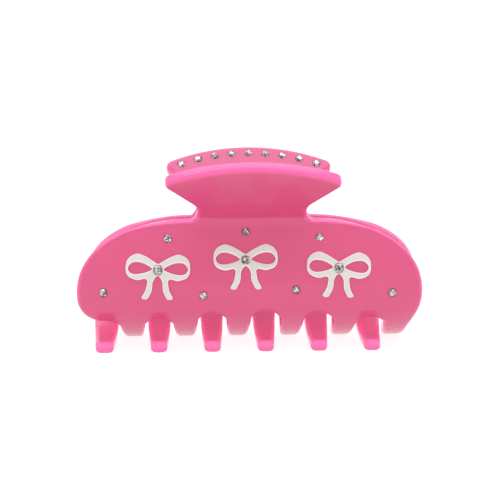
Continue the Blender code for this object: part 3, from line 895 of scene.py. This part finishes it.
# %% [markdown]
# ## Pressing the jaws and bows
#
# A modifier runs the tree on each flat piece, and the result is kept as a plain mesh. The rear jaw
# takes the same mesh turned half a turn about the vertical, which is a turn and not a mirror, so its
# faces still point outwards. The tooth tips are then flattened where they stand on the table.

# %% Run a tree and keep its mesh
def run_tree(obj, group, values):
    """The mesh that a tree makes of an object. The object is used up."""
    modifier = obj.modifiers.new(group.name, "NODES")
    modifier.node_group = group
    for key, value in values.items():
        modifier[key] = value
    graph = bpy.context.evaluated_depsgraph_get()
    made = obj.evaluated_get(graph)
    mesh = bpy.data.meshes.new_from_object(made, preserve_all_data_layers=True, depsgraph=graph)
    bpy.data.objects.remove(obj, do_unlink=True)
    return mesh


def add_piece(name, mesh, body, slot, *nodes):
    """A finished mesh as a piece that moves with a body and stands for CAD nodes."""
    obj = new_object(name, mesh)
    if body:
        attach(obj, body)
    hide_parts(*nodes)
    return obj


HALF_TURN = Matrix.Rotation(math.pi, 4, "Z")
SIDES = {"front": Matrix.Identity(4), "rear": HALF_TURN}


def copy_for(side, mesh):
    """The mesh where that side's jaw carries it."""
    made = mesh.copy()
    made.transform(SIDES[side])
    return made


# %% Press them
JAW_SHARP = 35  # degrees from which a fold in the mesh shows as an edge
TRIM_SHARP = 40


def press(blank, finish, sharp):
    """A flat piece bent to the jaw's shape, as a mesh with its finish."""
    values = {bending_keys["Bend line"]: bend_line, bending_keys["Finish"]: finish}
    mesh = run_tree(blank, bending.nodes, values)
    mesh.shade_smooth()
    mesh.set_sharp_from_angle(angle=math.radians(sharp))
    return mesh


jaw_mesh = press(jaw_blank, pink_acetate, JAW_SHARP)
for vert in jaw_mesh.vertices:
    vert.co.z = max(vert.co.z, 0.0)
bow_meshes = [press(blank, white_acetate, TRIM_SHARP) for blank in bow_blanks]
for side in SIDES:
    add_piece(f"{side}_jaw_acetate", copy_for(side, jaw_mesh), side, "pink_acetate", f"{side}_jaw")
    for i, mesh in enumerate(bow_meshes, 1):
        add_piece(f"{side}_bow_{i}_acetate", copy_for(side, mesh), side, "white_acetate", f"{side}_bow_{i}")
print("jaw:", len(jaw_mesh.polygons), "faces, bows:", [len(mesh.polygons) for mesh in bow_meshes])

# %% [markdown]
# ## The crystals
#
# One stone is cut once: a table split in eight and very slightly dished, eight star facets round it,
# eight kites, sixteen small facets down to the girdle, and the girdle itself. A tree then sets a copy at
# every place, faces it outwards, gives it a random turn and a number of its own, and makes real mesh of
# them all.

# %% Cut one stone
# Radii and heights, as shares of the stone's width.
GIRDLE_RADIUS, GIRDLE_HEIGHT = 0.5, 0.17
MIDDLE_RADIUS, MIDDLE_HEIGHT = 0.41, 0.30
TABLE_RADIUS, TABLE_HEIGHT = 0.27, 0.40
DISH_HEIGHT = 0.375


def cut_stone():
    """A stone one unit across, with its flat back at z = 0."""
    shape = bmesh.new()
    facet = shape.faces.layers.float.new("facet")

    def ring(count, radius, height, shift=0.0):
        angles = [2 * math.pi * (i + shift) / count for i in range(count)]
        return [shape.verts.new((radius * math.cos(a), radius * math.sin(a), height)) for a in angles]

    back, girdle = ring(16, GIRDLE_RADIUS, 0.0), ring(16, GIRDLE_RADIUS, GIRDLE_HEIGHT)
    middle, table = ring(8, MIDDLE_RADIUS, MIDDLE_HEIGHT, shift=0.5), ring(8, TABLE_RADIUS, TABLE_HEIGHT)
    dish = shape.verts.new((0, 0, DISH_HEIGHT))
    shape.faces.new(list(reversed(back)))
    for i in range(8):
        j = (i + 1) % 8
        shape.faces.new((table[i], table[j], dish))
        shape.faces.new((table[j], table[i], middle[i]))
        shape.faces.new((table[i], middle[i - 1], girdle[2 * i], middle[i]))
        shape.faces.new((middle[i], girdle[2 * i], girdle[2 * i + 1]))
        shape.faces.new((middle[i], girdle[2 * i + 1], girdle[(2 * i + 2) % 16]))
    for i in range(16):
        j = (i + 1) % 16
        shape.faces.new((back[i], back[j], girdle[j], girdle[i]))
    for number, face in enumerate(shape.faces):
        face[facet] = number
    return new_object("stone", mesh_of(shape, "stone"))


stone = cut_stone()
print("facets on one stone:", len(stone.data.polygons))

# %% The setting tree
setting, entry, setting_keys = new_tree("set_crystals", {
    "Bend line": "NodeSocketObject",
    "Stone": "NodeSocketObject",
    "Seed": "NodeSocketInt",
    "Finish": "NodeSocketMaterial",
})


def attribute(tree, name, kind="FLOAT"):
    """What is kept on the points under that name."""
    return tree.add("GeometryNodeInputNamedAttribute", {"data_type": kind}, {"Name": name})


place, outward = on_sheet(setting, setting.add("GeometryNodeInputPosition"), entry.out("Bend line"))
facing = setting.vector("SCALE", outward, Scale=attribute(setting, "side"))
faced = store(setting, entry, "facing", facing, kind="FLOAT_VECTOR")
moved = setting.add("GeometryNodeSetPosition", None, {"Geometry": faced, "Position": place})
facing = attribute(setting, "facing", kind="FLOAT_VECTOR")
turned = setting.add("FunctionNodeAlignRotationToVector", {"axis": "Z"}, {"Vector": facing})
spin = setting.add(
    "FunctionNodeRandomValue", {"data_type": "FLOAT"},
    {"Min": 0.0, "Max": math.tau, "Seed": entry.out("Seed")},
)
spin = setting.add("FunctionNodeAxisAngleToRotation", None, {"Axis": (0, 0, 1), "Angle": spin})
turned = setting.add(
    "FunctionNodeRotateRotation", {"rotation_space": "LOCAL"}, {"Rotation": turned, "Rotate By": spin}
)
width = attribute(setting, "width")
size = setting.add("ShaderNodeCombineXYZ", None, {"X": width, "Y": width, "Z": width})
model = setting.add("GeometryNodeObjectInfo", None, {"Object": entry.out("Stone")}).out("Geometry")
stones = setting.add(
    "GeometryNodeInstanceOnPoints", None,
    {"Points": moved, "Instance": model, "Rotation": turned, "Scale": size},
)
number = setting.add("GeometryNodeInputIndex") + 0.5  # halfway, so that no rounding moves it to another
stones = store(setting, stones, "stone", number, domain="INSTANCE")
end_tree(setting, stones, entry.out("Finish"))
print("setting tree:", len(setting.nodes.nodes), "nodes")

# %% Set the crystals
GLUE = 0.12 * MM
FIRST_SEED = 5


def crystal_points():
    """One vert for each crystal on the flat sheet, with its width and the side that it faces."""
    half = SHEET / 2
    spots = [(x, s, half - SEAT_DEPTH + GLUE, CRYSTAL, 1.0) for x, s in face_places]
    spots += [(x, s, half + BOW_SHEET - KNOT_SEAT + GLUE, KNOT_CRYSTAL, 1.0) for x, s in knot_places]
    spots += [(x, s, -half + SEAT_DEPTH - GLUE, CRYSTAL, -1.0) for x, s in lever_places]
    mesh = bpy.data.meshes.new("crystal_points")
    mesh.from_pydata([spot[:3] for spot in spots], [], [])
    for name, column in (("width", 3), ("side", 4)):
        values = [spot[column] for spot in spots]
        mesh.attributes.new(name, "FLOAT", "POINT").data.foreach_set("value", values)
    return new_object("crystal_points", mesh)


for seed, side in enumerate(SIDES, FIRST_SEED):
    mesh = run_tree(crystal_points(), setting.nodes, {
        setting_keys["Bend line"]: bend_line,
        setting_keys["Stone"]: stone,
        setting_keys["Seed"]: seed,
        setting_keys["Finish"]: crystal_glass,
    })
    nodes = [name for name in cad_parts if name.startswith(side) and "crystal" in name]
    add_piece(f"{side}_crystals_cut", copy_for(side, mesh), side, "crystal", *nodes)
    print(side, "crystals:", len(nodes), "nodes,", len(mesh.polygons), "facets")

# %% [markdown]
# ## The hinge
#
# Between the jaws sits a small stamped hinge. Each jaw has a bracket with two ears, the front one's
# outside the rear one's. A pin with peened heads runs through all four, and the spring is wound round
# it between them, with its two legs pressing the levers apart.

# %% Sizes of the hinge
PIN = 1.4 * MM
PIN_CLEARANCE = 0.2 * MM
PIN_HEAD = 2.6 * MM
PIN_HEAD_THICK = 0.7 * MM
PIN_HEAD_RIM = 0.12 * MM
PIN_SIDES = 48
WIRE = 0.7 * MM
COIL = NECK_GAP - 1.9 * MM
COIL_TURNS = 6
COIL_LENGTH = 6.4 * MM
COIL_STEP = math.radians(8)
STEEL = 0.8 * MM
STEEL_ROUND = 0.16 * MM
STEEL_FLAT_RING = 0.05 * MM
EAR_HEAD = NECK_GAP - 1.6 * MM
EAR_GAP = 0.3 * MM
EAR_HOLE_SIDES = 32
HEEL = 1.2 * MM
HEEL_LIFT = 0.2 * MM
HEEL_END = 235  # degrees round the heel's bend at which the ear runs straight to the base
FRONT_EAR_X = COIL_LENGTH / 2 + 3.2 * MM
REAR_EAR_X = FRONT_EAR_X - STEEL - EAR_GAP
BRACKET_WIDTH = 2 * FRONT_EAR_X + 5.2 * MM
BRACKET_HEIGHT = 8.5 * MM
BRACKET_CORNER = 1.6 * MM
BRACKET_TOP = NECK_S - NECK_BEND * BODY_LEAN - 1.0 * MM
BRACKET_GAP = 0.15 * MM
PRONG_INSET = 3.5 * MM
PRONG = 1.6 * MM
PRONG_HOLE = 1.9 * MM
PRONG_SIDES = 28
PRONG_SUNK = 0.2 * STEEL
PRONG_ROUND = 0.2 * MM
PRONG_FLAT_RING = 0.1 * MM
LEG_REACH = 9.6 * MM
LEG_GAP = 0.3 * MM


# %% Turn the pin
UNDER_HEAD = FRONT_EAR_X + STEEL / 2 + EAR_GAP
DOME_END = 12  # degrees, so that the dome ends in a small flat
PIN_SHARP = 30


def finish_mesh(shape, name, sharp):
    """The shape as a steel mesh, smooth but for its sharp edges."""
    mesh = mesh_of(shape, name)
    mesh.shade_smooth()
    mesh.set_sharp_from_angle(angle=math.radians(sharp))
    mesh.materials.append(hinge_steel)
    return mesh


def turned_pin():
    """The pin as rings along x: a plain shank, and at each end a peened head with a small rim."""
    past_rim = UNDER_HEAD + PIN_HEAD_RIM
    half = [(UNDER_HEAD, PIN / 2), (UNDER_HEAD, PIN_HEAD / 2 - PIN_HEAD_RIM), (past_rim, PIN_HEAD / 2)]
    half += arc(past_rim, 0.0, PIN_HEAD_THICK - PIN_HEAD_RIM, 90, DOME_END, PIN_HEAD / 2)[1:]
    stations = [(-x, radius) for x, radius in reversed(half)] + half
    shape = bmesh.new()
    rings = []
    for x, radius in stations:
        spots = circle((0.0, PIN_Z), radius, PIN_SIDES)
        rings.append([shape.verts.new((x, *spot)) for spot in spots])
    join_rings(shape, rings)
    shape.faces.new(rings[0])
    shape.faces.new(rings[-1])
    return finish_mesh(shape, "hinge_pin", PIN_SHARP)


add_piece("hinge_pin_turned", turned_pin(), "front", "steel", "hinge_pin")
print("pin:", round(2 * (UNDER_HEAD + PIN_HEAD_THICK) / MM, 1), "mm long")


# %% Stamp the brackets
def rounded_box(low, high, corner):
    """A rectangle with round corners, anticlockwise."""
    left, right = low[0] + corner, high[0] - corner
    bottom, top = low[1] + corner, high[1] - corner
    middles = [(right, bottom), (right, top), (left, top), (left, bottom)]
    points = []
    for quarter, (x, y) in enumerate(middles):
        points += arc(x, y, corner, 90 * quarter - 90, 90 * quarter)
    return points


def bracket_plate():
    """The bracket's base, flat, with two holes and the end of a turned-in prong in each."""
    near = -SHEET / 2 - BRACKET_GAP
    half = BRACKET_WIDTH / 2
    outline = rounded_box((-half, BRACKET_TOP - BRACKET_HEIGHT), (half, BRACKET_TOP), BRACKET_CORNER)
    middle = BRACKET_TOP - BRACKET_HEIGHT / 2
    prong_places = [(side * (half - PRONG_INSET), middle) for side in (-1, 1)]
    loops = [outline]
    loops += [list(reversed(circle(place, PRONG_HOLE / 2, PRONG_SIDES))) for place in prong_places]
    shape = bmesh.new()
    below, above = add_walls(shape, [
        rounded(loop, near - STEEL, near, STEEL_ROUND, STEEL_FLAT_RING, both=True) for loop in loops
    ])
    fill(shape, above, below)
    for place in prong_places:
        prong = circle(place, PRONG / 2, PRONG_SIDES)
        low = near - STEEL + PRONG_SUNK
        for ring in add_wall(shape, rounded(prong, low, near, PRONG_ROUND, PRONG_FLAT_RING, both=True)):
            shape.faces.new(ring)
    return finish_flat(shape, "flat_bracket")


def spot_on_sheet(s, depth):
    """(out, up) of a point on the bent sheet, `depth` outwards from its middle."""
    i = max(k for k in range(len(BEND_LINE) - 1) if BEND_LINE[k][0] <= s)
    s0, out0, up0 = BEND_LINE[i]
    s1, out1, up1 = BEND_LINE[i + 1]
    along = Vector((out1 - out0, up1 - up0)).normalized()
    share = (s - s0) / (s1 - s0)
    return Vector((out0, up0)).lerp(Vector((out1, up1)), share) + depth * Vector((along.y, -along.x))


def add_ear(shape, x):
    """One ear across x: it rises from the base and goes round the pin, with the pin's hole in it."""
    middle = -SHEET / 2 - BRACKET_GAP - STEEL / 2
    low = spot_on_sheet(BRACKET_TOP - BRACKET_HEIGHT + STEEL, middle)
    high = spot_on_sheet(BRACKET_TOP - STEEL, middle)
    head = arc(0.0, PIN_Z, EAR_HEAD / 2, 0, 180)
    heel = arc(-EAR_HEAD / 2 + HEEL, PIN_Z - EAR_HEAD / 2 + HEEL_LIFT, HEEL, 180, HEEL_END)
    outline = [tuple(high), *head, *heel, tuple(low)]
    hole = list(reversed(circle((0.0, PIN_Z), PIN / 2 + PIN_CLEARANCE, EAR_HOLE_SIDES)))
    below, above = add_walls(shape, [
        rounded(loop, x - STEEL / 2, x + STEEL / 2, STEEL_ROUND, STEEL_FLAT_RING, both=True)
        for loop in (outline, hole)
    ])
    fill(shape, above, below)


def bracket_ears(ear_x):
    """Both ears in one mesh, drawn as (out, up, x) and then stood in place."""
    shape = bmesh.new()
    for side in (-1, 1):
        add_ear(shape, side * ear_x)
    for vert in shape.verts:
        out, up, x = vert.co
        vert.co = (x, -out, up)
    return finish_mesh(shape, "ears", TRIM_SHARP)


plate_mesh = press(bracket_plate(), hinge_steel, TRIM_SHARP)
for side, ear_x in (("front", FRONT_EAR_X), ("rear", REAR_EAR_X)):
    shape = bmesh.new()
    shape.from_mesh(plate_mesh)
    shape.from_mesh(bracket_ears(ear_x))
    mesh = finish_mesh(shape, "bracket", TRIM_SHARP)
    add_piece(f"{side}_bracket_stamped", copy_for(side, mesh), side, "steel", f"{side}_hinge_bracket")
    print(side, "bracket:", len(mesh.polygons), "faces")


# %% Wind the spring
SAME_SPOT = 0.001 * MM
WIRE_SHARP = 50


def spring_path():
    """Points from the rear leg's end, round the coil and up the front leg."""
    radius = COIL / 2
    out, up = spot_on_sheet(NECK_S + LEG_REACH, -SHEET / 2 - WIRE / 2 - LEG_GAP)
    reach = Vector((out, up - PIN_Z))
    lean = math.atan2(reach.x, reach.y) + math.asin(radius / reach.length)
    leg = math.sqrt(reach.length_squared - radius**2)
    sweep = math.tau * COIL_TURNS + math.pi + 2 * lean
    steps = round(sweep / COIL_STEP)
    coil = []
    for i in range(steps + 1):
        angle = lean - sweep * i / steps
        x = COIL_LENGTH * (i / steps - 0.5)
        coil.append(Vector((x, -radius * math.cos(angle), PIN_Z + radius * math.sin(angle))))
    rear_leg = Vector((0, math.sin(lean), math.cos(lean))) * leg
    front_leg = Vector((0, -rear_leg.y, rear_leg.z))
    start = [coil[0] + rear_leg, coil[0] + rear_leg * 0.5]
    end = [coil[-1] + front_leg * 0.5, coil[-1] + front_leg]
    return start + coil + end


def wound_spring():
    """Round wire along the spring's path, as one closed mesh."""
    data = poly_curve("spring", spring_path())
    data.bevel_depth = WIRE / 2
    data.bevel_resolution = 4
    data.use_fill_caps = True
    wire = new_object("spring", data)
    graph = bpy.context.evaluated_depsgraph_get()
    mesh = bpy.data.meshes.new_from_object(wire.evaluated_get(graph))
    bpy.data.objects.remove(wire, do_unlink=True)
    shape = bmesh.new()
    shape.from_mesh(mesh)
    bmesh.ops.remove_doubles(shape, verts=shape.verts, dist=SAME_SPOT)
    return finish_mesh(shape, "spring", WIRE_SHARP)


spring = add_piece("torsion_spring_wound", wound_spring(), None, "steel", "torsion_spring")
-COIL_LENGTH / 2
COIL_LENGTH / 2
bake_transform(spring)
print("spring:", len(spring.data.polygons), "faces")

# %% Put the helpers away
for helper in (stone, bend_line):
    bpy.data.objects.remove(helper, do_unlink=True)

# %% [markdown]
# ## The floor, the room and the lights
#
# The clip stands on a white light table in a bright even room, so that it throws almost no shadow. A
# wide, faintly violet softbox overhead lights the rims along the top edges. A low one in front, its
# glare polarised away, brings up the faces and reaches the rear teeth through the arches.

# %% Floor and room
FLOOR_REACH = 40.0
FLOOR_DROP = 0.02 * MM
PAPER_TONE = (0.25, 0.25, 0.25, 1.0)
PAPER_LIGHT = 0.85
WHITE = (1.0, 1.0, 1.0, 1.0)


def make_floor():
    """A sheet of white paper, lit from below and too wide for its edge to be seen."""
    mesh = bpy.data.meshes.new("floor")
    corners = [(-1, -1), (1, -1), (1, 1), (-1, 1)]
    spots = [(x * FLOOR_REACH, y * FLOOR_REACH, -FLOOR_DROP) for x, y in corners]
    mesh.from_pydata(spots, [], [(0, 1, 2, 3)])
    obj = new_object("floor", mesh)
    paper, tree, place = new_finish("floor_paper")
    end_finish(tree, {
        "Normal": bump(tree, noise(tree, place, 2 * MM), 0.01 * MM),
        "Base Color": PAPER_TONE,
        "Roughness": 0.9,
        "Specular IOR Level": 0.0,
        "Emission Color": WHITE,
        "Emission Strength": PAPER_LIGHT,
    })
    mesh.materials.append(paper)


make_floor()
world = bpy.data.worlds.new("room")
bpy.context.scene.world = world
world.use_nodes = True
background = world.node_tree.nodes["Background"]
background.inputs["Color"].default_value = WHITE
background.inputs["Strength"].default_value = 1.0
bpy.context.scene.view_settings.view_transform = "Standard"


# %% Softboxes
def softbox(name, place, aim, size, power, colour=(1.0, 1.0, 1.0), polarised=False):
    """A rectangular light aimed at a point. A polarised one makes no glints in what is glossy."""
    data = bpy.data.lights.new(name, "AREA")
    data.color = colour
    data.shape = "RECTANGLE"
    data.size, data.size_y = size
    data.energy = power
    obj = new_object(name, data)
    obj.location = place
    obj.rotation_euler = (Vector(place) - Vector(aim)).to_track_quat("Z", "Y").to_euler()
    obj.visible_glossy = not polarised


CLIP_MIDDLE = (0, 0, 0.03)
FAINT_VIOLET = (0.80, 0.72, 1.0)
softbox("overhead", (0, 0.05, 0.7), CLIP_MIDDLE, size=(0.9, 0.5), power=3.0, colour=FAINT_VIOLET)
softbox("front", (-0.1, -0.9, 0.2), CLIP_MIDDLE, size=(0.7, 0.3), power=2.4, polarised=True)
